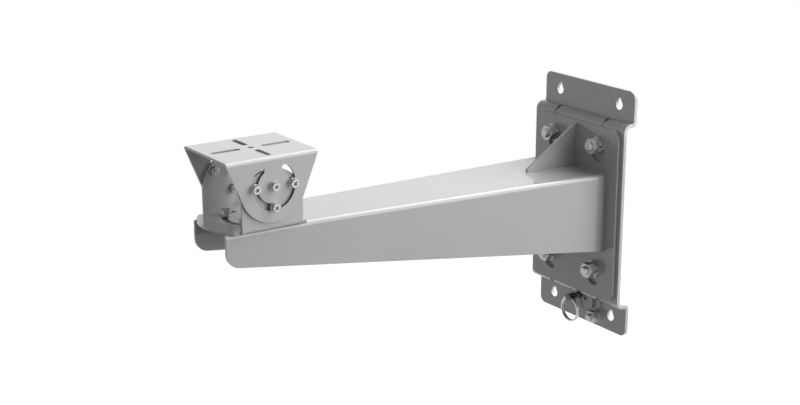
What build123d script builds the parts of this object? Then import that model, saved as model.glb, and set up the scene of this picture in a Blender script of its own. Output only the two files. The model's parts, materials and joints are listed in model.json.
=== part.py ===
from build123d import *
from math import cos, radians, sin, tan
import os

# Camera wall bracket. The wall is the plane Y=0, the arm reaches out along
# -Y, +X is to the side and +Z is up. Everything is in millimetres.

# Clearances shared by all the pieces
RUN_FIT = 0.05           # radial play of a shank that turns in its hole
SLIDE_GAP = 0.05         # gap between two sheets that slide on each other
SIDE_GAP = 0.3           # play between the two yokes, side to side
HOLE_PLAY = 0.3          # radial play of a clamp bolt in its slot

# Metric hardware: thread, width across flats, height of the nut and of the
# head, outside and thickness of the washer and of the spring washer
M5 = dict(d=5.0, flats=8.0, nut=4.0, head=3.5, washer=10.0, thick=1.0, coil=8.8, spring=1.2)
M8 = dict(d=8.0, flats=13.0, nut=6.5, head=5.3, washer=16.0, thick=1.6, coil=14.0, spring=2.0)
M10 = dict(d=10.0, flats=16.0, nut=8.0, head=6.4, washer=20.0, thick=2.0, coil=18.0, spring=2.2)

# Wall plate: a top hat section folded from one sheet
WALL_W = 150.0
WALL_H = 286.0
WALL_T = 4.0
HAT_RISE = 14.0          # how far the raised face stands out from the flanges
FLANGE_H = 35.0          # height of each flange, down to the outer side of its web
HAT_Z = WALL_H / 2 - FLANGE_H
HAT_R_IN = 2.0           # bend where a flange turns into its web
HAT_R_OUT = 9.0          # bend where the web turns into the raised face
WALL_CORNER = 8.0
RELIEF_X = 41.0
RELIEF_W = 2.5
WALL_HOLE_X = 50.0       # half the spacing of the wall screws
WALL_HOLE_EDGE = 18.0    # from the end of a flange to the wide ends of its keyholes
WALL_HOLE_Z = WALL_H / 2 - WALL_HOLE_EDGE
WALL_NECK = 6.4
WALL_WIDE = 11.0
WALL_DROP = 5.0
WALL_SCREWS = [(x * WALL_HOLE_X, z * WALL_HOLE_Z) for x in (-1, 1) for z in (-1, 1)]
FLANGE_Y = -WALL_T
RAISED_Y = -WALL_T - HAT_RISE

# Studs on the raised face
STUD_X = 37.5
STUD_TOP_EDGE = 21.0     # from the top of the base plate to the upper studs
STUD_LOW_EDGE = 33.0
STUD_END = 4.0           # thread showing past each nut
STUD_HEAD_D = 20.0
STUD_HEAD_T = 3.0

# Base plate of the arm, hung on the studs by keyholes
BASE_MARGIN = 5.0        # strip of the wall plate left showing at each side
BASE_END_GAP = 8.0       # from each end of the base plate to the web below it
BASE_W = WALL_W - 2 * BASE_MARGIN
BASE_TOP = HAT_Z - BASE_END_GAP
BASE_LOW = -BASE_TOP
BASE_T = 4.0
BASE_CORNER = 11.0
BASE_NECK = 10.5
BASE_WIDE = 21.0
BASE_DROP = 9.0
BASE_Y = RAISED_Y - BASE_T
STUD_ROWS = (BASE_LOW + STUD_LOW_EDGE, BASE_TOP - STUD_TOP_EDGE)
STUDS = [(x, z) for x in (-STUD_X, STUD_X) for z in STUD_ROWS]

# Arm: a channel open below, tapered in plan and in side view
ARM_T = 3.0
ARM_TIP_Y = -490.5
NOSE_TO_PAN = 48.0       # from the tip of the arm back to the pan axis
PAN_Y = ARM_TIP_Y + NOSE_TO_PAN
SEAT_BEHIND_PAN = 57.5   # level seat behind the pan axis, before the slope begins
ARM_SEAT_Y = PAN_Y + SEAT_BEHIND_PAN
ARM_TIP_HALF = 33.6
ARM_BASE_HALF = 53.9
ARM_SEAT_Z = 56.5
ARM_TOP_BASE_Z = 48.7
ARM_LOW_TIP_Z = 23.5
ARM_LOW_BASE_Z = -41.7
ARM_BEND_R = 4.0
ARM_NOSE_R = 15.0
ARM_WEB_R = 47.0         # round front end of the arm's top, about the pan axis

# Gusset between the arm and its base plate
GUSSET_T = 3.0
GUSSET_TOP_Z = BASE_TOP - 3.0
GUSSET_REACH = 71.0
GUSSET_BLUNT = 3.0

# Pan axis and lower yoke
YOKE_T = 2.5
YOKE_BEND_R = 3.5
UPPER_HALF = 43.5
LOWER_HALF = UPPER_HALF - YOKE_T - SIDE_GAP
FLOOR_R = 55.0
FLOOR_Z = ARM_SEAT_Z + SLIDE_GAP
FLOOR_TOP = FLOOR_Z + YOKE_T
CHEEK_R = 34.0
CHEEK_CENTRE_Z = 84.0
PAN_SLOT_R = 27.5
PAN_BOLT_ANGLE = 45.0
PAN_TRAVEL = 30.0        # turn to either side before a clamp bolt meets a slot end
PAN_BOLTS = [end * 90 + side * PAN_BOLT_ANGLE for end in (-1, 1) for side in (-1, 1)]

# Tilt axis and upper yoke
TILT_Z = 101.0
TILT_Y = PAN_Y
UPPER_TOP_Z = 130.0
UPPER_LENGTH = 101.0
UPPER_CHEEK_R = 36.5
TILT_SLOT_R = 21.0
TILT_TRAVEL = 54.0       # tilt to either side before a clamp bolt meets a slot end
TILT_BOLT_ANGLES = (0.0, 180.0, 270.0)
PLATE_HOLE_D = 6.4
PLATE_SLOT_W = 6.4
ALONG_SLOT = (12.0, 44.0)   # inner and outer end of the slots along the arm
CROSS_SLOT = (10.0, 36.0)   # inner and outer end of the slots across it

# Lock at the foot of the wall plate
LOCK_DROP = 4.5          # from the web down to the pin
LOCK_Z = -HAT_Z - LOCK_DROP
LOCK_PLATE_T = 3.0
LOCK_PLATE_HALF = 22.0
LOCK_PLATE_TOP = -HAT_Z - 2.5
LOCK_PLATE_EDGE = 16.0   # from the lug down to the end of the flange
LOCK_PLATE_LOW = LOCK_PLATE_EDGE - WALL_H / 2
LOCK_PLATE_R = 9.0
LOCK_WINDOW = (6.5, 11.5)   # inner and outer edge of the windows beside the bush
LOCK_WINDOW_H = 4.0
BUSH_D = 8.0
BUSH_L = 7.0
PIN_D = 5.0
PIN_HEAD_D = 9.0
PIN_HEAD_L = 9.0
PIN_HEAD_GAP = 3.5       # from the bush to the head of the pin
PIN_HEAD_Y = FLANGE_Y - LOCK_PLATE_T - BUSH_L - PIN_HEAD_GAP - PIN_HEAD_L / 2
PIN_TIP_Y = -1.0
RING_MEAN_R = 14.6
RING_WIRE_R = 0.9
RING_PITCH = 1.6         # distance between the two turns of the ring
RING_PLAY = 1.3

# Earth stud on the lower flange
EARTH_X = 26.0
EARTH_EDGE = 12.0        # from the end of the flange to the stud
EARTH_Z = EARTH_EDGE - WALL_H / 2
EARTH_END = 4.5


def at_wall(x, z, y=0.0):
    """A frame on a plane parallel to the wall whose own Z points away from it."""
    return Plane(origin=(x, y, z), x_dir=(1, 0, 0), z_dir=(0, -1, 0))


def side_on(y, z, x=0.0):
    """A frame seen from the +X side: own X is world Y, own Y is world Z."""
    return Plane(origin=(x, y, z), x_dir=(0, 1, 0), z_dir=(1, 0, 0))


def group(shapes):
    """Several loose solids kept in one node."""
    return Compound(children=list(shapes))


def washer(size):
    """Flat washer standing on its own XY plane."""
    return extrude(Circle(size["washer"] / 2) - Circle(size["d"] / 2 + RUN_FIT), size["thick"])


def spring_washer(size):
    """Spring washer, squeezed flat, standing on its own XY plane."""
    return extrude(Circle(size["coil"] / 2) - Circle(size["d"] / 2 + RUN_FIT), size["spring"])


def hexagon(size, height):
    """Hexagon with its upper corners turned off at 30 degrees."""
    prism = extrude(RegularPolygon(size["flats"] / 2, 6, major_radius=False), height)
    top_r = size["flats"] / 2
    foot_r = top_r + height / tan(radians(30))
    return prism & Cone(foot_r, top_r, height, align=(Align.CENTER, Align.CENTER, Align.MIN))


def nut(size):
    """Plain hexagon nut, its bore clear of the thread by the running fit."""
    return hexagon(size, size["nut"]) - extrude(Circle(size["d"] / 2 + RUN_FIT), size["nut"])


def bolt(size, grip):
    """Bolt whose head stands on its own XY plane and whose shank goes down."""
    shank = extrude(Circle(size["d"] / 2), -grip)
    shank = chamfer(shank.edges().sort_by(Axis.Z)[0], size["d"] * 0.08)
    return hexagon(size, size["head"]) + shank


def keyhole(neck, wide, drop):
    """Keyhole: the shank seats in the neck at the origin, the head enters below."""
    entry = Pos(0, -drop) * Circle(wide / 2)
    neck_part = SlotCenterToCenter(drop, neck, rotation=90)
    return entry + Pos(0, -drop / 2) * neck_part


def folded(points, radii, thick, length, side):
    """Sheet folded along a path in the YZ plane, as long as given along X."""
    path = FilletPolyline(*points, radius=radii)
    profile = make_face(path.offset_2d(thick, side=side))
    return extrude(Plane.YZ * profile, length / 2, both=True)


def wall_plate():
    """Top hat section: two flanges on the wall and a raised face between them."""
    half = WALL_H / 2
    front = [
        (FLANGE_Y, half),
        (FLANGE_Y, HAT_Z),
        (RAISED_Y, HAT_Z),
        (RAISED_Y, -HAT_Z),
        (FLANGE_Y, -HAT_Z),
        (FLANGE_Y, -half),
    ]
    radii = [HAT_R_IN, HAT_R_OUT, HAT_R_OUT, HAT_R_IN]
    plate = folded(front, radii, WALL_T, WALL_W, Side.LEFT)
    outline = RectangleRounded(WALL_W, WALL_H, WALL_CORNER)
    plate = plate & extrude(at_wall(0, 0, WALL_T) * outline, 2 * WALL_T - RAISED_Y)
    screw_hole = keyhole(WALL_NECK, WALL_WIDE, WALL_DROP)
    holes = Sketch() + [Pos(x, z + WALL_DROP) * screw_hole for x, z in WALL_SCREWS]
    holes += [Pos(x, z) * Circle(M10["d"] / 2 + RUN_FIT) for x, z in STUDS]
    relief = Rectangle(RELIEF_W, HAT_R_OUT + HAT_R_IN)
    relief_z = HAT_Z - (HAT_R_OUT - HAT_R_IN) / 2
    holes += [Pos(s * RELIEF_X, r * relief_z) * relief for s in (-1, 1) for r in (-1, 1)]
    holes += Pos(0, LOCK_Z) * Circle(PIN_D / 2 + RUN_FIT)
    holes += Pos(EARTH_X, EARTH_Z) * Circle(M8["d"] / 2 + RUN_FIT)
    return plate - extrude(at_wall(0, 0, WALL_T) * holes, 2 * WALL_T - RAISED_Y)


def wall_stud():
    """One stud: a flat head behind the raised face and a shank through it."""
    reach = WALL_T + BASE_T + M10["thick"] + M10["spring"] + M10["nut"] + STUD_END
    shank = extrude(Circle(M10["d"] / 2), reach)
    shank = chamfer(shank.edges().sort_by(Axis.Z)[-1], M10["d"] * 0.1)
    return shank + extrude(Circle(STUD_HEAD_D / 2), -STUD_HEAD_T)


def on_studs(shape, y):
    """The same piece on each of the four studs, standing on the plane at y."""
    return group([at_wall(x, z, y) * shape for x, z in STUDS])


def arm_base_plate():
    """Flat plate behind the arm, with a keyhole for each stud."""
    centre = (BASE_TOP + BASE_LOW) / 2
    outline = Pos(0, centre) * RectangleRounded(BASE_W, BASE_TOP - BASE_LOW, BASE_CORNER)
    holes = Sketch() + [Pos(x, z) * keyhole(BASE_NECK, BASE_WIDE, BASE_DROP) for x, z in STUDS]
    return extrude(at_wall(0, 0, RAISED_Y) * (outline - holes), BASE_T)


def arm_at(y):
    """Half width, top and lower edge of the arm at a distance from the wall."""
    along = (y - BASE_Y) / (ARM_TIP_Y - BASE_Y)
    half = ARM_BASE_HALF + along * (ARM_TIP_HALF - ARM_BASE_HALF)
    low = ARM_LOW_BASE_Z + along * (ARM_LOW_TIP_Z - ARM_LOW_BASE_Z)
    slope = min(1.0, (y - BASE_Y) / (ARM_SEAT_Y - BASE_Y))
    top = ARM_TOP_BASE_Z + slope * (ARM_SEAT_Z - ARM_TOP_BASE_Z)
    return half, top, low


def arm_section(y):
    """Cross section of the arm: an upside down U with rounded folds."""
    half, top, low = arm_at(y)
    path = FilletPolyline((-half, low), (-half, top), (half, top), (half, low), radius=ARM_BEND_R)
    return at_wall(0, 0, y) * make_face(path.offset_2d(ARM_T, side=Side.RIGHT))


def arm_channel():
    """Arm folded from one sheet, its walls rounded at the nose."""
    sections = [arm_section(y) for y in (ARM_TIP_Y, ARM_SEAT_Y, BASE_Y)]
    arm = loft(sections, ruled=True)
    nose = arm.edges().filter_by(Axis.X).group_by(Axis.Y)[0].group_by(Axis.Z)[0]
    arm = fillet(nose, ARM_NOSE_R)
    reach = PAN_Y - ARM_TIP_Y + ARM_T
    inner = arm_at(ARM_TIP_Y)[0] - ARM_T
    open_front = Pos(0, -reach / 2) * Rectangle(2 * inner, reach) - Circle(ARM_WEB_R)
    level = Plane.XY.offset(ARM_SEAT_Z + ARM_T)
    arm -= extrude(level * Pos(0, PAN_Y) * open_front, -3 * ARM_T)
    arm -= extrude(level * Pos(0, PAN_Y) * pan_holes(), -3 * ARM_T)
    return arm


def pan_holes():
    """Round holes for the pan pivot and its clamp bolts."""
    holes = Sketch() + Circle(M8["d"] / 2 + RUN_FIT)
    clamp = Circle(M5["d"] / 2 + RUN_FIT)
    return holes + [Rot(0, 0, a) * Pos(PAN_SLOT_R, 0) * clamp for a in PAN_BOLTS]


def arm_gusset():
    """Upright triangle that ties the top of the arm to its base plate."""
    tip_y = BASE_Y - GUSSET_REACH
    foot = arm_at(BASE_Y)[1]
    tip = arm_at(tip_y)[1]
    corners = [(BASE_Y, foot), (tip_y, tip), (tip_y, tip + GUSSET_BLUNT)]
    corners += [(BASE_Y - GUSSET_BLUNT, GUSSET_TOP_Z), (BASE_Y, GUSSET_TOP_Z)]
    face = make_face(Polyline(*corners, close=True))
    return extrude(Plane.YZ * face, GUSSET_T / 2, both=True)


def arc_slot(radius, middle, half_angle):
    """Slot for a clamp bolt bent round the origin, its middle at the given angle."""
    line = CenterArc((0, 0), radius, middle - half_angle, 2 * half_angle)
    return SlotArc(line, M5["d"] + 2 * HOLE_PLAY)


def lower_yoke():
    """Round floor with a cheek folded up at either side."""
    half = LOWER_HALF
    top = CHEEK_CENTRE_Z + CHEEK_R
    low = FLOOR_Z
    path = FilletPolyline((-half, top), (-half, low), (half, low), (half, top), radius=YOKE_BEND_R)
    profile = make_face(path.offset_2d(YOKE_T, side=Side.LEFT))
    depth = 2 * CHEEK_R
    folded_up = extrude(at_wall(0, 0, PAN_Y + CHEEK_R) * profile, depth)
    rise = CHEEK_CENTRE_Z - FLOOR_Z
    outline = Circle(CHEEK_R) + Pos(0, -rise / 2) * Rectangle(depth, rise)
    folded_up &= extrude(side_on(PAN_Y, CHEEK_CENTRE_Z) * outline, half, both=True)
    flat_half = half - YOKE_BEND_R
    floor = Circle(FLOOR_R) & Rectangle(2 * flat_half, 2 * FLOOR_R)
    yoke = folded_up + extrude(Plane.XY.offset(FLOOR_Z) * Pos(0, PAN_Y) * floor, YOKE_T)
    cuts = Sketch() + Circle(M8["d"] / 2 + RUN_FIT)
    cuts += [arc_slot(PAN_SLOT_R, a, PAN_BOLT_ANGLE + PAN_TRAVEL) for a in (-90, 90)]
    yoke -= extrude(Plane.XY.offset(FLOOR_Z - YOKE_T) * Pos(0, PAN_Y) * cuts, 3 * YOKE_T)
    holes = Sketch() + [Pos(*p) * Circle(M5["d"] / 2 + RUN_FIT) for p in tilt_points()]
    return yoke - extrude(side_on(TILT_Y, TILT_Z) * holes, 2 * half, both=True)


def tilt_points():
    """The tilt pivot and the clamp bolts around it, seen from the side."""
    ring = [(TILT_SLOT_R * cos(radians(a)), TILT_SLOT_R * sin(radians(a))) for a in TILT_BOLT_ANGLES]
    return [(0, 0)] + ring


def upper_yoke():
    """Camera plate with a cheek folded down at either side."""
    half = UPPER_HALF
    low = TILT_Z - UPPER_CHEEK_R
    top = UPPER_TOP_Z
    path = FilletPolyline((-half, low), (-half, top), (half, top), (half, low), radius=YOKE_BEND_R)
    profile = make_face(path.offset_2d(YOKE_T, side=Side.RIGHT))
    yoke = extrude(at_wall(0, 0, TILT_Y + UPPER_LENGTH / 2) * profile, UPPER_LENGTH)
    rise = UPPER_TOP_Z - TILT_Z
    rim = Pos(0, rise - YOKE_T / 2) * Rectangle(UPPER_LENGTH, YOKE_T)
    outline = make_hull((Circle(UPPER_CHEEK_R) + rim).edges())
    yoke &= extrude(side_on(TILT_Y, TILT_Z) * outline, half, both=True)
    side_cuts = arc_slot(TILT_SLOT_R, -90, 90 + TILT_TRAVEL) + Circle(M5["d"] / 2 + RUN_FIT)
    yoke -= extrude(side_on(TILT_Y, TILT_Z) * side_cuts, 2 * half, both=True)
    top_cuts = Plane.XY.offset(UPPER_TOP_Z - 2 * YOKE_T) * Pos(0, TILT_Y) * plate_cuts()
    return yoke - extrude(top_cuts, 3 * YOKE_T)


def plate_cuts():
    """Middle hole and the cross of four slots for the camera screws."""
    cuts = Sketch() + Circle(PLATE_HOLE_D / 2)
    for (inner, outer), turn in ((ALONG_SLOT, 90), (CROSS_SLOT, 0)):
        slot = SlotOverall(outer - inner, PLATE_SLOT_W)
        reach = (inner + outer) / 2
        cuts += [Rot(0, 0, turn + flip) * Pos(reach, 0) * slot for flip in (0, 180)]
    return cuts


def on_pan(shape, z, places=PAN_BOLTS):
    """The same piece at each pan clamp bolt, standing on the level z."""
    level = Plane.XY.offset(z) * Pos(0, PAN_Y)
    return group([level * Rot(0, 0, a) * Pos(PAN_SLOT_R, 0) * shape for a in places])


def on_tilt(shape, x, points, outward=True):
    """The same piece on both cheeks, standing on the planes at plus and minus x."""
    pieces = []
    for s in (-1, 1):
        facing = s if outward else -s
        for y, z in points:
            frame = Plane(origin=(s * x, TILT_Y + y, TILT_Z + z), x_dir=(0, 0, 1), z_dir=(facing, 0, 0))
            pieces.append(frame * shape)
    return group(pieces)


def lock_plate():
    """Small lug on the lower flange, rounded below, with a window either side."""
    height = LOCK_PLATE_TOP - LOCK_PLATE_LOW
    lug = Pos(0, -height / 2) * Rectangle(2 * LOCK_PLATE_HALF, height)
    lug = fillet(lug.vertices().group_by(Axis.Y)[0], LOCK_PLATE_R)
    inner, outer = LOCK_WINDOW
    window = Rectangle(outer - inner, LOCK_WINDOW_H)
    drop = LOCK_Z - LOCK_PLATE_TOP
    lug -= [Pos(s * (inner + outer) / 2, drop - LOCK_WINDOW_H / 2) * window for s in (-1, 1)]
    lug -= Pos(0, drop) * Circle(PIN_D / 2 + RUN_FIT)
    return extrude(at_wall(0, LOCK_PLATE_TOP, FLANGE_Y) * lug, LOCK_PLATE_T)


def lock_bush():
    """Short guide tube in front of the lug."""
    tube = extrude(Circle(BUSH_D / 2) - Circle(PIN_D / 2 + RUN_FIT), BUSH_L)
    tube = chamfer(tube.edges().group_by(Axis.Z)[-1].sort_by(SortBy.LENGTH)[-1], 1.0)
    return at_wall(0, LOCK_Z, FLANGE_Y - LOCK_PLATE_T) * tube


def lock_pin():
    """Pin with a thick head that is cross drilled for the pull ring."""
    shank = extrude(at_wall(0, LOCK_Z, PIN_TIP_Y) * Circle(PIN_D / 2), PIN_TIP_Y - PIN_HEAD_Y)
    shank = chamfer(shank.edges().group_by(Axis.Y)[-1], PIN_D * 0.15)
    back = PIN_HEAD_Y + PIN_HEAD_L / 2
    head = extrude(at_wall(0, LOCK_Z, back) * Circle(PIN_HEAD_D / 2), PIN_HEAD_L)
    head = fillet(head.edges().group_by(Axis.Y)[0], 1.0)
    eye = SlotOverall(2 * (RING_WIRE_R + RING_PLAY) + RING_PITCH, 2 * (RING_WIRE_R + RING_PLAY))
    return shank + head - extrude(side_on(PIN_HEAD_Y, LOCK_Z) * eye, PIN_HEAD_D, both=True)


def pull_ring():
    """Split ring of two turns laid side by side."""
    turns = [Pos(RING_MEAN_R, s * RING_PITCH / 2) * Circle(RING_WIRE_R) for s in (-1, 1)]
    section = Plane.XY * (Sketch() + turns)
    ring = revolve(section, Axis.Y)
    return Pos(0, PIN_HEAD_Y, LOCK_Z - RING_MEAN_R) * ring


def earth_stud():
    """Stud welded into the lower flange for the earth wire."""
    reach = WALL_T + M8["thick"] + M8["spring"] + M8["nut"] + EARTH_END
    shank = extrude(Circle(M8["d"] / 2), reach)
    shank = chamfer(shank.edges().sort_by(Axis.Z)[-1], M8["d"] * 0.1)
    return at_wall(EARTH_X, EARTH_Z) * shank


def stud_pieces():
    """Studs, washers and nuts that hold the base plate to the wall plate."""
    flat = BASE_Y
    spring = flat - M10["thick"]
    nuts = spring - M10["spring"]
    return {
        "wall_studs": on_studs(wall_stud(), RAISED_Y + WALL_T),
        "stud_washers": on_studs(washer(M10), flat),
        "stud_spring_washers": on_studs(spring_washer(M10), spring),
        "stud_nuts": on_studs(nut(M10), nuts),
    }


def pan_pieces():
    """Pivot and clamp bolts that hold the lower yoke down on the arm."""
    rest = FLOOR_TOP + SLIDE_GAP
    under = ARM_SEAT_Z - ARM_T
    pivot_rest = rest + M8["thick"]
    pivot_grip = pivot_rest - under + M8["nut"] + 2
    clamp_rest = rest + M5["thick"]
    head_rest = clamp_rest + M5["spring"]
    clamp_grip = head_rest - under + M5["nut"] + 2
    return {
        "pan_pivot_washer": Pos(0, PAN_Y, rest) * washer(M8),
        "pan_pivot_bolt": Pos(0, PAN_Y, pivot_rest) * bolt(M8, pivot_grip),
        "pan_pivot_nut": Pos(0, PAN_Y, under) * Rot(180, 0, 0) * nut(M8),
        "pan_clamp_washers": on_pan(washer(M5), rest),
        "pan_clamp_spring_washers": on_pan(spring_washer(M5), clamp_rest),
        "pan_clamp_bolts": on_pan(bolt(M5, clamp_grip), head_rest),
        "pan_clamp_nuts": on_pan(Rot(180, 0, 0) * nut(M5), under),
    }


def tilt_pieces():
    """Pivot and clamp bolts that hold the two yokes together."""
    rest = UPPER_HALF + SLIDE_GAP
    spring = rest + M5["thick"]
    head = spring + M5["spring"]
    inner = LOWER_HALF - YOKE_T
    grip = head - inner + M5["nut"] + 1.5
    pivot, clamps = tilt_points()[:1], tilt_points()[1:]
    pieces = {}
    for name, points in (("tilt_pivot", pivot), ("tilt_clamp", clamps)):
        pieces[name + "_washers"] = on_tilt(washer(M5), rest, points)
        pieces[name + "_spring_washers"] = on_tilt(spring_washer(M5), spring, points)
        pieces[name + "_bolts"] = on_tilt(bolt(M5, grip), head, points)
        pieces[name + "_nuts"] = on_tilt(nut(M5), inner, points, outward=False)
    return pieces


def lock_pieces():
    """Lock pin with its pull ring, and the earth stud beside it."""
    flat = FLANGE_Y - M8["thick"]
    face = flat - M8["spring"]
    return {
        "lock_plate": lock_plate(),
        "lock_bush": lock_bush(),
        "lock_pin": lock_pin(),
        "pull_ring": pull_ring(),
        "earth_stud": earth_stud(),
        "earth_washer": at_wall(EARTH_X, EARTH_Z, FLANGE_Y) * washer(M8),
        "earth_spring_washer": at_wall(EARTH_X, EARTH_Z, flat) * spring_washer(M8),
        "earth_nut": at_wall(EARTH_X, EARTH_Z, face) * nut(M8),
    }


def all_pieces():
    """Every piece of the bracket under the name of its node."""
    pieces = {
        "wall_plate": wall_plate(),
        "arm_base_plate": arm_base_plate(),
        "arm_channel": arm_channel(),
        "arm_gusset": arm_gusset(),
        "lower_yoke": lower_yoke(),
        "upper_yoke": upper_yoke(),
    }
    for some in (stud_pieces(), pan_pieces(), tilt_pieces(), lock_pieces()):
        pieces.update(some)
    return pieces


os.makedirs("parts", exist_ok=True)
for node, shape in all_pieces().items():
    export_step(shape, f"parts/{node}.step")
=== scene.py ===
# %% [markdown]
# # Camera wall bracket
# A folded wall plate carries a tapered channel arm, and on its end two nested
# yokes let a camera turn and tilt. The CAD model gives every solid at its true
# size. Here Blender gives each one its finish, and models the small details
# that CAD leaves plain: screw recesses, split washers, threads and the ring.

# %% Load the CAD frame
import json
import math

import bpy
from mathutils import Matrix, Vector


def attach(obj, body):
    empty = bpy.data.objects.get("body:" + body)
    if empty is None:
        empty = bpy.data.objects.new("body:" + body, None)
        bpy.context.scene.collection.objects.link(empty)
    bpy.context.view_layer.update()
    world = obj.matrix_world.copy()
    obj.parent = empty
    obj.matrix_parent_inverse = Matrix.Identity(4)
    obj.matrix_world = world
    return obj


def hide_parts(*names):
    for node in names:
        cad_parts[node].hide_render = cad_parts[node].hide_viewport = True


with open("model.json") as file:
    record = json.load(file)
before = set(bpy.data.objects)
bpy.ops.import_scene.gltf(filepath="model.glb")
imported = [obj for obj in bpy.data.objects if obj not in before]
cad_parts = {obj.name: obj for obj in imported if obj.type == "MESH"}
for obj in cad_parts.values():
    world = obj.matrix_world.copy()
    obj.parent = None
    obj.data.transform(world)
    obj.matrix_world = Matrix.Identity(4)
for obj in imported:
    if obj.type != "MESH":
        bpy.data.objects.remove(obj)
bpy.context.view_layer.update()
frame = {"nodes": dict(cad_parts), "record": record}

# %% [markdown]
# ## Camera
# The photograph was taken from the camera plate's near corner, a little above
# the bracket. A long lens keeps the arm from tapering too much. The place and
# the lens were worked out from the plate, the arm and the yokes together.

# %% Camera
CAMERA_AT = Vector((1.2799, -1.1511, 0.5055))
AZIMUTH = math.radians(55.30)
ELEVATION = math.radians(16.52)
LENS_MM, SENSOR_MM = 69.17, 36.0

lens = bpy.data.cameras.new("camera")
lens.lens = LENS_MM
lens.sensor_width = SENSOR_MM
camera = bpy.data.objects.new("camera", lens)
bpy.context.collection.objects.link(camera)
toward = Vector((
    -math.sin(AZIMUTH) * math.cos(ELEVATION),
    math.cos(AZIMUTH) * math.cos(ELEVATION),
    -math.sin(ELEVATION),
))
camera.location = CAMERA_AT
camera.rotation_euler = toward.to_track_quat("-Z", "Y").to_euler()
bpy.context.scene.camera = camera
bpy.context.scene.view_settings.view_transform = "Standard"
print("camera at", tuple(camera.location), "lens", lens.lens)

# %% [markdown]
# ## Light
# The faces that look to the camera's left are grey, and so are the arm's top
# and near wall close to the wall plate, whose shadow they are in. So the
# light comes from behind that plate: a soft panel above and one at the
# right. Area lamps are used because their size sets how soft a shadow is.

# %% Lamps
MIDDLE = Vector((0.0, -0.25, 0.0))


def softbox(name, at, size, watts):
    """Area lamp of a given width and height that looks at the bracket."""
    lamp = bpy.data.lights.new(name, "AREA")
    lamp.shape = "RECTANGLE"
    lamp.size, lamp.size_y = size
    lamp.energy = watts
    box = bpy.data.objects.new(name, lamp)
    bpy.context.collection.objects.link(box)
    box.location = at
    box.rotation_euler = (MIDDLE - Vector(at)).to_track_quat("-Z", "Y").to_euler()
    print("lamp", name, watts, "W")


softbox("above_behind", at=(-0.25, 2.7, 3.4), size=(6.0, 3.6), watts=330.0)
softbox("right_behind", at=(2.25, 1.5, 0.55), size=(3.0, 3.0), watts=84.0)

# %% [markdown]
# ## Node helpers
# The surround, the floor and the finishes are all built from shader nodes.
# These short functions place the ones that come up again and again, so that
# each material below reads as a recipe.

# %% Node helpers
def add(tree, kind, **values):
    """New node with its properties set."""
    node = tree.nodes.new(kind)
    for key, value in values.items():
        setattr(node, key, value)
    return node


def merge(tree, operation, a, b):
    """Math node of the given kind on two factors."""
    node = add(tree, "ShaderNodeMath", operation=operation)
    tree.links.new(a, node.inputs[0])
    tree.links.new(b, node.inputs[1])
    return node.outputs[0]


def either(tree, a, b):
    """The larger of two factors."""
    return merge(tree, "MAXIMUM", a, b)


def times(tree, a, b):
    """Product of two factors."""
    return merge(tree, "MULTIPLY", a, b)


def ramp(tree, factor, start, end, low, high):
    """Factor mapped from start..end to low..high, and held outside."""
    node = add(tree, "ShaderNodeMapRange")
    keys = ("From Min", "From Max", "To Min", "To Max")
    for key, value in zip(keys, (start, end, low, high)):
        node.inputs[key].default_value = value
    tree.links.new(factor, node.inputs["Value"])
    return node.outputs["Result"]


print("node helpers: add, merge, either, times, ramp")

# %% [markdown]
# ## Surround
# The photograph's background is pure white, yet so much white light would
# wash the bracket out. Light Path tells the world who is asking: camera,
# mirror and glass rays see white, and any other ray gets a dimmer grey.
# Mirror rays that go steeply up see a darker ceiling, as in a studio, which
# tones down the shine along the upper folds.

# %% World
FILL = 0.235                  # light that the surround gives to matt faces
CEILING = 0.3                 # brightness of the ceiling in reflections
CEILING_FROM = (0.42, 0.52)   # how steep a ray is where the ceiling begins

world = bpy.data.worlds.new("tent")
bpy.context.scene.world = world
world.use_nodes = True
tree = world.node_tree
tree.nodes.clear()
path = add(tree, "ShaderNodeLightPath").outputs
aim = add(tree, "ShaderNodeTexCoord").outputs["Generated"]
split = add(tree, "ShaderNodeSeparateXYZ")
tree.links.new(aim, split.inputs[0])
ceiling = ramp(tree, split.outputs["Z"], *CEILING_FROM, 1.0, CEILING)
mirrored = times(tree, path["Is Glossy Ray"], ceiling)
seen = either(tree, path["Is Camera Ray"], path["Is Transmission Ray"])
strength = ramp(tree, either(tree, seen, mirrored), 0.0, 1.0, FILL, 1.0)
shade = add(tree, "ShaderNodeBackground")
shade.inputs["Color"].default_value = (1, 1, 1, 1)
tree.links.new(strength, shade.inputs["Strength"])
out = add(tree, "ShaderNodeOutputWorld")
tree.links.new(shade.outputs[0], out.inputs["Surface"])
print("world fill", FILL)

# %% [markdown]
# ## Floor
# A pale sheet far below the bracket catches its shadow. To the camera and in
# reflections it is white paper, and it turns into the white surround with
# distance, so that no edge shows. What it bounces up is kept dimmer, or it
# would light the bracket from below.

# %% Floor
FLOOR_Z, FLOOR_SIZE = -0.62, 30.0
FLOOR_NEAR, FLOOR_FAR = 0.9, 2.2          # from paper to the white surround
PAPER_SEEN, PAPER_BOUNCE = 0.95, 0.16     # greys, as seen and as light source


def deselect():
    """Operators act on all that is selected, so each step starts from nothing."""
    for thing in bpy.context.selected_objects:
        thing.select_set(False)


def blend(tree, factor, a, b):
    """Shader a turned into shader b by a factor."""
    mix = add(tree, "ShaderNodeMixShader")
    tree.links.new(factor, mix.inputs["Fac"])
    tree.links.new(a, mix.inputs[1])
    tree.links.new(b, mix.inputs[2])
    return mix.outputs[0]


def paper(tree, grey):
    """Matt shader of one grey."""
    matte = add(tree, "ShaderNodeBsdfDiffuse")
    matte.inputs["Color"].default_value = (grey, grey, grey, 1)
    return matte.outputs[0]


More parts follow.
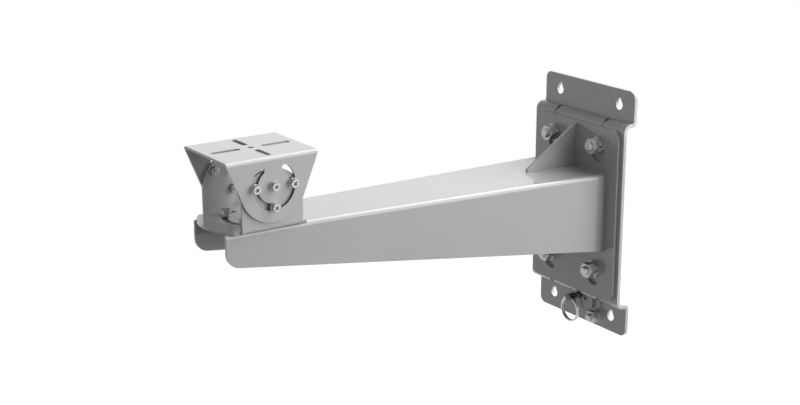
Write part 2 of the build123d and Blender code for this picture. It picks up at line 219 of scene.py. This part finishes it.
deselect()
bpy.ops.mesh.primitive_plane_add(size=FLOOR_SIZE, location=(0, 0, FLOOR_Z))
floor = bpy.context.object
floor.name = "studio_floor"
sheet = bpy.data.materials.new("studio_white")
sheet.use_nodes = True
tree = sheet.node_tree
tree.nodes.clear()
reach = add(tree, "ShaderNodeVectorMath", operation="LENGTH")
tree.links.new(add(tree, "ShaderNodeTexCoord").outputs["Object"], reach.inputs[0])
far = ramp(tree, reach.outputs["Value"], FLOOR_NEAR, FLOOR_FAR, 0.5, 1.0)
glow = add(tree, "ShaderNodeEmission").outputs[0]
path = add(tree, "ShaderNodeLightPath").outputs
seen = either(tree, path["Is Camera Ray"], path["Is Transmission Ray"])
seen = either(tree, seen, path["Is Glossy Ray"])
white = blend(tree, far, paper(tree, PAPER_SEEN), glow)
out = add(tree, "ShaderNodeOutputMaterial")
both = blend(tree, seen, paper(tree, PAPER_BOUNCE), white)
tree.links.new(both, out.inputs["Surface"])
floor.data.materials.append(sheet)
print("floor at", FLOOR_Z)

# %% [markdown]
# ## Patterns
# No real surface has one even tone. The patterns here are noises on Object
# coordinates, which keep their size in metres whatever the mesh, so no image
# is needed. A Bevel node finds the sharp edges, rounds their shading, and
# the coat is painted paler along them: a painted highlight.

# %% Pattern helpers
NOISE_RANGE = (0.3, 0.7)      # noise hardly ever leaves it


def noise(tree, where, scale, detail, rough=0.5):
    """Noise in the object's own metres; returns its factor."""
    node = add(tree, "ShaderNodeTexNoise")
    node.inputs["Scale"].default_value = scale
    node.inputs["Detail"].default_value = detail
    node.inputs["Roughness"].default_value = rough
    tree.links.new(where, node.inputs["Vector"])
    return node.outputs["Fac"]


def spread(tree, pattern, low, high):
    """Noise mapped to low..high."""
    return ramp(tree, pattern, *NOISE_RANGE, low, high)


def edges(tree, radius):
    """1 on flat ground, falling towards edges that the bevel would round."""
    smooth = add(tree, "ShaderNodeBevel", samples=4)
    smooth.inputs["Radius"].default_value = radius
    flat = add(tree, "ShaderNodeNewGeometry")
    dot = add(tree, "ShaderNodeVectorMath", operation="DOT_PRODUCT")
    tree.links.new(smooth.outputs[0], dot.inputs[0])
    tree.links.new(flat.outputs["True Normal"], dot.inputs[1])
    return dot.outputs["Value"], smooth.outputs[0]


print("noise is mapped from", NOISE_RANGE)

# %% [markdown]
# ## Skins
# Every finish is a Principled shader. Its colour is a grey times a pattern, so
# that the grey can be read off at a glance, and a fine bump gives it tooth.

# %% Skin helpers
def shader(name):
    """Material with a Principled shader, and where its patterns live."""
    made = bpy.data.materials.new(name)
    made.use_nodes = True
    tree = made.node_tree
    where = add(tree, "ShaderNodeTexCoord").outputs["Object"]
    return made, tree, tree.nodes["Principled BSDF"], where


def tint(tree, factor, grey, into):
    """Grey of a given level times a factor, linked into a colour socket."""
    colour = add(tree, "ShaderNodeMix", data_type="RGBA", blend_type="MULTIPLY")
    colour.inputs[0].default_value = 1.0
    colour.inputs[6].default_value = (*grey, 1)
    tree.links.new(factor, colour.inputs[7])
    tree.links.new(colour.outputs[2], into)


def tooth(tree, pattern, strength, height, under, skin):
    """Fine bump from a noise, laid over the softened edges."""
    bump = add(tree, "ShaderNodeBump")
    bump.inputs["Strength"].default_value = strength
    bump.inputs["Distance"].default_value = height
    tree.links.new(pattern, bump.inputs["Height"])
    tree.links.new(under, bump.inputs["Normal"])
    tree.links.new(bump.outputs[0], skin.inputs["Normal"])


print("skin helpers: shader, tint, tooth")

# %% [markdown]
# ## Powder coat
# The sheets are coated with light grey powder, baked on: satin, with a fine
# orange peel and a grain that is only just seen. One noise makes the grain
# and another a slow drift of tone. A thin clear coat gives the sharp
# reflection that the plate shows in the arm's top. Sharp edges are painted
# paler, a painted highlight where light would catch their rounding. Under
# these lamps the yokes and the wall plate come out too dark, so their
# coats are painted a little paler: painted light.

# %% Powder coat
PAINT_GREY = (0.40, 0.40, 0.403)


def powder_coat(name, tone):
    """Light grey powder coat; tone makes it paler or darker than the arm's."""
    made, tree, skin, where = shader(name)
    grain = spread(tree, noise(tree, where, 900.0, 2.0), 0.955, 1.045)
    drift = spread(tree, noise(tree, where, 11.0, 3.0), 0.97, 1.03)
    edge, rounded = edges(tree, 0.0007)
    # painted highlight: the coat is made paler towards sharp edges
    painted_edge_highlight = ramp(tree, edge, 0.86, 0.995, 1.06, 1.0)
    pattern = times(tree, times(tree, grain, drift), painted_edge_highlight)
    tint(tree, pattern, [tone * c for c in PAINT_GREY], skin.inputs["Base Color"])
    rough = spread(tree, noise(tree, where, 60.0, 4.0), 0.32, 0.37)
    tree.links.new(rough, skin.inputs["Roughness"])
    skin.inputs["IOR"].default_value = 1.5
    skin.inputs["Specular IOR Level"].default_value = 0.25
    skin.inputs["Coat Weight"].default_value = 1.0
    skin.inputs["Coat Roughness"].default_value = 0.05
    skin.inputs["Coat IOR"].default_value = 1.5
    tooth(tree, noise(tree, where, 520.0, 2.0), 0.25, 0.0001, rounded, skin)
    return made


paint = powder_coat("powder_coat", 1.0)
# painted light: paler copies of the coat for the yokes and the wall plate, which come
# out too dark under these lamps
yoke_paint_painted_light = powder_coat("powder_coat_yokes_painted_light", 1.07)
plate_paint_painted_light = powder_coat("powder_coat_plate_painted_light", 1.13)
print("made", paint.name, yoke_paint_painted_light.name, plate_paint_painted_light.name)

# %% [markdown]
# ## Zinc plate
# Studs, nuts, bolts and washers are zinc plated steel: a metal, so all its
# colour is in what it reflects, dulled by fine scratches and by handling.
# The same recipe, smoother or darker, makes the ring's spring wire, the
# duller tilt screws and the bare steel of the latch. The darkest one is also
# put on the walls of the cut slots and slits, as painted shade.

# %% Zinc plate
def zinc(name, grey, rough_low, rough_high):
    """Dull plated steel with cloudy roughness and a fine tooling grain."""
    made, tree, skin, where = shader(name)
    skin.inputs["Metallic"].default_value = 1.0
    cloud = spread(tree, noise(tree, where, 320.0, 4.0, 0.6), 0.82, 1.08)
    tint(tree, cloud, grey, skin.inputs["Base Color"])
    rough = spread(tree, noise(tree, where, 700.0, 3.0), rough_low, rough_high)
    tree.links.new(rough, skin.inputs["Roughness"])
    rounded = edges(tree, 0.0004)[1]
    tooth(tree, noise(tree, where, 1500.0, 2.0), 0.3, 0.00008, rounded, skin)
    return made


plated = zinc("zinc_plate", (0.47, 0.47, 0.465), 0.38, 0.55)
bright = zinc("bright_spring_wire", (0.52, 0.52, 0.52), 0.2, 0.32)
dull = zinc("dull_screw_zinc", (0.37, 0.37, 0.368), 0.46, 0.62)
# also used as painted shade on the walls of the slots and slits
dark = zinc("dark_latch_steel_and_painted_slot_shade", (0.14, 0.14, 0.14), 0.5, 0.66)
print("made", plated.name, bright.name, dull.name, dark.name)

# %% [markdown]
# ## Dress the CAD nodes
# Each node already knows its slot in the record. The sheets get powder coat,
# the small parts zinc, and the ring bright wire. The yokes and the wall plate
# get paler copies of the coat, painted light where these lamps leave them too
# dark, and the latch pin with its bush gets dark steel.

# %% Dress the nodes
FINISH = {"paint": paint, "fasteners": plated, "ring": bright}
OWN = {"lower_yoke": yoke_paint_painted_light, "upper_yoke": yoke_paint_painted_light, "wall_plate": plate_paint_painted_light,
       "lock_pin": dark, "lock_bush": dark}
for part in frame["record"]["subparts"]:
    mesh = frame["nodes"][part["node"]].data
    mesh.materials.clear()
    mesh.materials.append(OWN.get(part["node"], FINISH[part["material_slot"]]))
print("dressed", len(frame["nodes"]), "nodes")

# %% [markdown]
# ## Turning
# Screws, washers and studs are round parts, cut on a lathe. A disc that is
# pushed up ring by ring, wider or narrower at each, makes the same shapes, and
# the list of rings reads like the part's drawing. Sizes are in millimetres,
# and MM turns them into metres.

# %% Turning
MM = 0.001


def pick(obj):
    """Make a piece the only one selected, and the active one."""
    deselect()
    obj.select_set(True)
    bpy.context.view_layer.objects.active = obj


def edit_all():
    """Open the active piece for editing, with all of it selected."""
    bpy.ops.object.mode_set(mode="EDIT")
    bpy.ops.mesh.select_all(action="SELECT")


def face_outward():
    """Turn all faces outward and close the edit."""
    bpy.ops.mesh.select_all(action="SELECT")
    bpy.ops.mesh.normals_make_consistent(inside=False)
    bpy.ops.object.mode_set(mode="OBJECT")


def turned(name, rings, sides=40):
    """Solid made from a disc that is pushed up and resized ring by ring."""
    deselect()
    radius, level = rings[0]
    bpy.ops.mesh.primitive_circle_add(
        vertices=sides, radius=radius * MM, fill_type="NGON",
        location=(0, 0, level * MM))
    obj = bpy.context.object
    obj.name = name
    bpy.ops.object.transform_apply(location=True)
    edit_all()
    for new_radius, new_level in rings[1:]:
        rise = {"value": (0, 0, (new_level - level) * MM)}
        bpy.ops.mesh.extrude_region_move(TRANSFORM_OT_translate=rise)
        by = new_radius / radius
        bpy.ops.transform.resize(value=(by, by, 1), center_override=(0, 0, 0))
        radius, level = new_radius, new_level
    face_outward()
    return obj


print("turned parts are drawn in units of", MM, "m")

# %% [markdown]
# ## Cutting
# Real holes and slots are drilled and sawn out of the solid. Here one piece
# cuts another by a Boolean, which leaves the same clean walls. Shading is then
# softened across small angles only, so that machined edges stay crisp.

# %% Cutting
def slab(size, at, turn=(0, 0, 0)):
    """Box used as a cutter: its size, its middle and its turn in degrees."""
    deselect()
    bpy.ops.mesh.primitive_cube_add(size=1, location=[c * MM for c in at],
                                    rotation=[math.radians(a) for a in turn])
    obj = bpy.context.object
    obj.scale = [s * MM for s in size]
    bpy.ops.object.transform_apply(location=True, rotation=True, scale=True)
    return obj


def carve(obj, cutter, how="DIFFERENCE", walls=None):
    """Cut, join or trim a piece with another, which is used up."""
    if walls:
        cutter.data.materials.append(walls)
    cut = obj.modifiers.new("cut", "BOOLEAN")
    cut.operation = how
    cut.solver = "EXACT"
    cut.object = cutter
    cut.material_mode = "TRANSFER"
    pick(obj)
    bpy.ops.object.modifier_apply(modifier=cut.name)
    bpy.data.objects.remove(cutter)
    return obj


def soften(obj, angle=32):
    """Smooth shading: sharp edges stay crisp, large faces stay flat."""
    pick(obj)
    bpy.ops.object.shade_smooth_by_angle(angle=math.radians(angle))
    even = obj.modifiers.new("even", "WEIGHTED_NORMAL")
    even.keep_sharp = True
    bpy.ops.object.modifier_apply(modifier=even.name)
    return obj


print("cutting helpers: slab, carve, soften")

# %% [markdown]
# ## Setting in place
# A fastener comes many times, all alike, so each kind is modelled once and
# copied. A frame says where its foot stands and which way it points. Every
# copy has its own mesh and rides on its body, and the CAD nodes that it
# stands for are hidden.

# %% Setting in place
def frame_at(origin, x, z):
    """Matrix of a frame: its origin in mm and where its own X and Z point."""
    x, z = Vector(x), Vector(z)
    turn = Matrix((x, z.cross(x), z)).transposed().to_4x4()
    turn.translation = Vector(origin) * MM
    return turn


def settle(obj, finish, body, slot, *nodes):
    """Give a piece its finish (None keeps it) and its body, and hide its CAD nodes."""
    if finish:
        obj.data.materials.clear()
        obj.data.materials.append(finish)
    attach(obj, body)
    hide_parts(*nodes)


def set_copies(master, name, frames, finish, body, slot, *nodes):
    """Copies of a piece, one on each frame; the master is then removed."""
    for number, place in enumerate(frames, 1):
        piece = master.copy()
        piece.data = master.data.copy()
        piece.name = piece.data.name = f"{name}_{number}"
        piece.data.transform(place)
        bpy.context.collection.objects.link(piece)
        settle(piece, finish, body, slot, *nodes)
    bpy.data.objects.remove(master)
    print("set", len(frames), name)


print("placing helpers: frame_at, settle, set_copies")

# %% [markdown]
# ## Threads
# The thread is a row of ridges turned on the last of the shank. A real one is
# a spiral, but at this size its slope can't be seen, so it is left out.

# %% Threads
THREAD_LENGTH = 10.0          # of the shank's far end that carries thread
THREAD_DEPTH = 0.45           # depth of a ridge in pitches
STUD_HEAD = 3.0               # height of a stud's flat head


def threaded(name, size, start, end, pitch, head_r=None):
    """Shank from start to end, its last part ridged, with a flat head or none."""
    root = size / 2 - THREAD_DEPTH * pitch
    rings = [(head_r, start - STUD_HEAD), (head_r, start)] if head_r else []
    level = max(start, end - THREAD_LENGTH)
    rings += [(size / 2, start), (size / 2, level)]
    while level + pitch < end - 0.1 * size:
        rings += [(root, level + 0.5 * pitch), (size / 2, level + pitch)]
        level += pitch
    point = 0.08 * size
    rings += [(size / 2, end - point), (size / 2 - point, end)]
    return turned(name, rings)


print("threads run over the last", THREAD_LENGTH, "mm")

# %% [markdown]
# ## Screws
# A hexagon head starts as a bar of six sides, and a wide cone trims its top
# corners, which leaves the curved edges of a real head. A screwdriver's cross
# is then pressed in: two blades that narrow with depth.

# %% Screws
OVERLAP = 0.2                 # how far a shank reaches into its head
RECESS_TAPER = 0.55           # size of the recess's foot to its mouth


def hexagon(name, flats, height):
    """Six-sided bar with its upper corners turned off."""
    corner = flats / math.sqrt(3)
    bar = turned(name, [(corner, 0.0), (corner, height)], 6)
    foot = flats / 2 + height / math.tan(math.radians(30))
    trim = turned("trim", [(foot, 0.0), (flats / 2, height)], 64)
    return carve(bar, trim, "INTERSECT")


def blade(length, width, depth, top, turn):
    """One blade of the cross, narrower at its foot."""
    tool = slab((length, width, depth * 2), (0, 0, top), (0, 0, turn))
    bpy.ops.object.mode_set(mode="EDIT")
    bpy.ops.mesh.select_all(action="DESELECT")
    bpy.ops.object.mode_set(mode="OBJECT")
    for point in tool.data.vertices:
        point.select = point.co.z < top * MM
    for face in tool.data.polygons:
        face.select = face.center.z < (top - 0.9 * depth) * MM
    bpy.ops.object.mode_set(mode="EDIT")
    bpy.ops.transform.resize(value=(RECESS_TAPER, RECESS_TAPER, 1),
                             center_override=(0, 0, 0))
    bpy.ops.object.mode_set(mode="OBJECT")
    return tool


def screw(size, flats, head, grip, pitch):
    """Hexagon screw with a cross recess; its head stands on its own XY plane."""
    body = hexagon("screw", flats, head)
    shank = threaded("shank", size, 0.0, grip, pitch)
    shank.data.transform(Matrix.Rotation(math.pi, 4, "X"))
    shank.data.transform(Matrix.Translation((0, 0, OVERLAP * MM)))
    carve(body, shank, "UNION")
    for turn in (45, 135):
        carve(body, blade(0.74 * flats, 0.19 * flats, 0.6 * head, head, turn))
    return soften(body)


print("a recess narrows to", RECESS_TAPER, "of its mouth")

# %% [markdown]
# ## Spring washers
# A spring washer is one turn cut from a coil of square wire. It is turned as a
# ring with its corners broken, bored, and sawn through at a slant.

# %% Spring washers
def coil_washer(outer, bore, thick, edge=0.15):
    """Spring washer: a ring cut through at a slant."""
    ring = turned("coil", [(outer / 2 - edge, 0), (outer / 2, edge),
                           (outer / 2, thick - edge), (outer / 2 - edge, thick)])
    carve(ring, turned("bore", [(bore / 2, -1.0), (bore / 2, thick + 1.0)]))
    slit = slab((outer, 0.12 * outer, 4 * thick), (outer / 2, 0, thick / 2), (32, 0, 20))
    return soften(carve(ring, slit))


print("spring washer helper: coil_washer")

# %% [markdown]
# ## Tilt screws
# Each cheek of the upper yoke has a pivot screw in the middle of its arc slot
# and three clamp screws in the slot. They are fixed in the lower yoke, so they
# ride on it and stay still while the upper yoke tips. Under each head is a
# spring washer on a plain one, which keeps it tight as the camera shakes.

# %% Tilt screws
PAN_Y, TILT_Z, TILT_SLOT_R = -442.5, 101.0, 21.0
CHEEK_X = 43.55               # outer face of the upper yoke's cheeks
TILT_COIL, TILT_HEAD = 1.0, 2.2   # where they start, out from the cheek


def on_tilt(out, points):
    """Frames on both cheeks, facing outward and standing out from them."""
    return [frame_at((s * (CHEEK_X + out), PAN_Y + y, TILT_Z + z), (0, 0, 1), (s, 0, 0))
            for s in (-1, 1) for y, z in points]


PIVOT = [(0.0, 0.0)]
CLAMPS = [(TILT_SLOT_R, 0.0), (-TILT_SLOT_R, 0.0), (0.0, -TILT_SLOT_R)]
for kind, points in (("pivot", PIVOT), ("clamp", CLAMPS)):
    set_copies(screw(size=5.0, flats=8.0, head=3.5, grip=13.05, pitch=0.8),
               f"tilt_{kind}_screw", on_tilt(TILT_HEAD, points), dull,
               "pan_head", "fasteners", f"tilt_{kind}_bolts")
    set_copies(coil_washer(outer=8.8, bore=5.1, thick=1.2),
               f"tilt_{kind}_coil", on_tilt(TILT_COIL, points), plated,
               "pan_head", "fasteners", f"tilt_{kind}_spring_washers")

# %% [markdown]
# ## Copies of the sheets
# The upper yoke's arc slots and the slits across the wall plate's bends are
# a little narrower in the CAD model than in the photograph. A CAD node's mesh
# is never changed, so each sheet is copied, its loose triangles merged, and
# the copy stands for it.

# %% Copy a sheet
WELD_DISTANCE = 0.000002      # points of loose triangles this near are one


def node_copy(node, name):
    """Copy of a CAD node's mesh, its loose triangles merged into one skin."""
    obj = bpy.data.objects.new(name, frame["nodes"][node].data.copy())
    obj.data.name = name
    bpy.context.collection.objects.link(obj)
    pick(obj)
    edit_all()
    bpy.ops.mesh.remove_doubles(threshold=WELD_DISTANCE)
    face_outward()
    print(name, "from", node, len(obj.data.vertices), "points")
    return obj


yoke = node_copy("upper_yoke", "upper_yoke_slotted")
plate = node_copy("wall_plate", "wall_plate_slit")

# %% [markdown]
# ## Arc slots
# The slots are punched to 7 mm, wider than their 5 mm screws need, so that
# the yoke tips without rubbing. A bar swept round the tilt axis cuts both
# cheeks at once, and a round cutter finishes each end. Their walls get the
# dark steel, as painted shade for the deep shadow inside narrow cuts.

# %% Cut the arc slots
SLOT_W, SLOT_END = 7.0, 51.0      # width, and degrees above the horizontal
CUTTER_HALF = 55.0                # half a cutter's length, past both cheeks


def close_ends(obj):
    """Cap the open ends of a swept piece and turn its faces outward."""
    pick(obj)
    edit_all()
    bpy.ops.mesh.fill_holes(sides=40)
    face_outward()


def arc_bar(radius, width, start, sweep_by):
    """Bar swept round the tilt axis, long enough to cut both cheeks."""
    deselect()
    bpy.ops.mesh.primitive_plane_add(size=1)
    bar = bpy.context.object
    bar.scale = (2 * CUTTER_HALF * MM, width * MM, 1)
    bar.location = (0, radius * MM, 0)
    bpy.ops.object.transform_apply(location=True, scale=True)
    spin = bar.modifiers.new("sweep", "SCREW")
    spin.axis = "X"
    spin.angle = math.radians(sweep_by)
    spin.steps = spin.render_steps = 60
    bpy.ops.object.modifier_apply(modifier=spin.name)
    close_ends(bar)
    bar.data.transform(Matrix.Rotation(math.radians(start), 4, "X"))
    return bar


def tilt_cutter(degrees, width):
    """Round cutter at the end of a tilt slot."""
    angle = math.radians(degrees)
    tool = turned("end", [(width / 2, -CUTTER_HALF), (width / 2, CUTTER_HALF)], 32)
    spot = (0, TILT_SLOT_R * math.cos(angle), TILT_SLOT_R * math.sin(angle))
    tool.data.transform(frame_at(spot, (0, 0, 1), (1, 0, 0)))
    return tool


to_axis = Matrix.Translation((0, PAN_Y * MM, TILT_Z * MM))
for tool in (arc_bar(TILT_SLOT_R, SLOT_W, -180 - SLOT_END, 180 + 2 * SLOT_END),
             tilt_cutter(SLOT_END, SLOT_W), tilt_cutter(-180 - SLOT_END, SLOT_W)):
    tool.data.transform(to_axis)
    # the slot walls take the dark steel: painted shade
    carve(yoke, tool, walls=dark)
settle(soften(yoke, 20), None, "tilt_head", "paint", "upper_yoke")
print("cut", yoke.name, len(yoke.data.polygons), "faces")

# %% [markdown]
# ## Slits
# A sheet that is bent beside a flat part is slit first, so that it doesn't
# tear. The wall plate has four such slits of about 4 mm across its bends, and
# plain blocks saw them out.

# %% Cut the slits
SLIT_SIZE = (4.2, 11.0, 13.0)
SLIT_X, SLIT_Y, SLIT_Z = 40.5, -14.5, 105.8
for x in (-SLIT_X, SLIT_X):
    for z in (-SLIT_Z, SLIT_Z):
        # the slit walls take the dark steel: painted shade
        carve(plate, slab(SLIT_SIZE, (x, SLIT_Y, z)), walls=dark)
settle(soften(plate, 20), None, "bracket", "paint", "wall_plate")
print("cut", plate.name, len(plate.data.polygons), "faces")

# %% [markdown]
# ## Pan clamp screws
# Four larger screws hold the lower yoke's floor on the arm. In the photograph
# their washers are a little wider than the tilt screws' ones, so heads of
# 10 mm across the flats and washers of 12 mm are modelled here.

# %% Pan screws
FLOOR_TOP = 59.05             # upper face of the lower yoke's floor
PAN_SLOT_R = 27.5
PAN_WASHER, PAN_COIL, PAN_HEAD = 0.05, 1.05, 2.25   # where they start, above it


def on_pan(up):
    """Frames on the yoke's floor, one at each pan clamp screw."""
    spots = [math.radians(a) for a in (-135, -45, 45, 135)]
    return [frame_at((PAN_SLOT_R * math.cos(a), PAN_Y + PAN_SLOT_R * math.sin(a),
                      FLOOR_TOP + up),
                     (math.cos(a), math.sin(a), 0), (0, 0, 1)) for a in spots]


set_copies(screw(size=5.0, flats=10.0, head=4.0, grip=13.85, pitch=0.8),
           "pan_clamp_screw", on_pan(PAN_HEAD), plated,
           "bracket", "fasteners", "pan_clamp_bolts")
set_copies(coil_washer(outer=9.6, bore=5.1, thick=1.2),
           "pan_clamp_coil", on_pan(PAN_COIL), plated,
           "bracket", "fasteners", "pan_clamp_spring_washers")
flat = turned("flat", [(5.8, 0), (6.0, 0.15), (6.0, 0.85), (5.8, 1.0)])
carve(flat, turned("bore", [(2.55, -1), (2.55, 2)]))
set_copies(soften(flat), "pan_clamp_washer", on_pan(PAN_WASHER), plated,
           "bracket", "fasteners", "pan_clamp_washers")

# %% [markdown]
# ## Studs
# The studs that carry the base plate come forward through the raised face,
# and their thread shows past each nut. Behind the face each has a flat head.

# %% Studs and coils
STUD_X = 37.5
STUD_Z = (-67.0, 79.0)
RAISED_Y = -18.0              # front of the wall plate's raised face
RAISED_T = 4.0                # and its thickness
BASE_STACK = 6.0              # base plate and plain washer in front of it


def on_studs(y):
    """Frames at the four studs, facing away from the wall."""
    return [frame_at((x, y, z), (1, 0, 0), (0, -1, 0))
            for x in (-STUD_X, STUD_X) for z in STUD_Z]


stud = soften(threaded("stud", 10.0, 0.0, 24.2, 1.5, head_r=10.0), 25)
set_copies(stud, "wall_stud", on_studs(RAISED_Y + RAISED_T), plated,
           "bracket", "fasteners", "wall_studs")
set_copies(coil_washer(outer=18.0, bore=10.1, thick=2.2),
           "stud_coil", on_studs(RAISED_Y - BASE_STACK), plated,
           "bracket", "fasteners", "stud_spring_washers")

# %% [markdown]
# ## Pull ring
# The latch is pulled by a split ring: spring wire wound twice round, its two
# turns lying side by side. A round section is swept twice round an axis and
# moves along it by one wire a turn, and the ends are closed. It hangs in the
# pin's cross hole.

# %% Pull ring
RING_R, WIRE_R = 14.3, 1.05
TURNS, GAP_DEGREES = 2, 14
PIN_AT = Vector((0.0, -22.0, -112.5))

deselect()
bpy.ops.mesh.primitive_circle_add(vertices=14, radius=WIRE_R * MM, fill_type="NGON",
                                  location=(RING_R * MM, 0, 0),
                                  rotation=(math.pi / 2, 0, 0))
ring = bpy.context.object
ring.name = ring.data.name = "split_ring"
bpy.ops.object.transform_apply(location=True, rotation=True)
sweep = ring.modifiers.new("wind", "SCREW")
sweep.axis = "Z"
sweep.angle = math.radians(TURNS * 360 - GAP_DEGREES)
sweep.screw_offset = TURNS * 2 * WIRE_R * MM
sweep.steps = sweep.render_steps = 110
sweep.use_merge_vertices = True
bpy.ops.object.modifier_apply(modifier=sweep.name)
close_ends(ring)
lay = frame_at(PIN_AT - Vector((0, 0, RING_R)), (0, 0, 1), (0, -1, 0))
middle = Matrix.Translation((0, 0, -TURNS * WIRE_R * MM))
ring.data.transform(lay @ middle)
settle(soften(ring), bright, "ring", "ring", "pull_ring")
print("ring", len(ring.data.polygons), "faces")
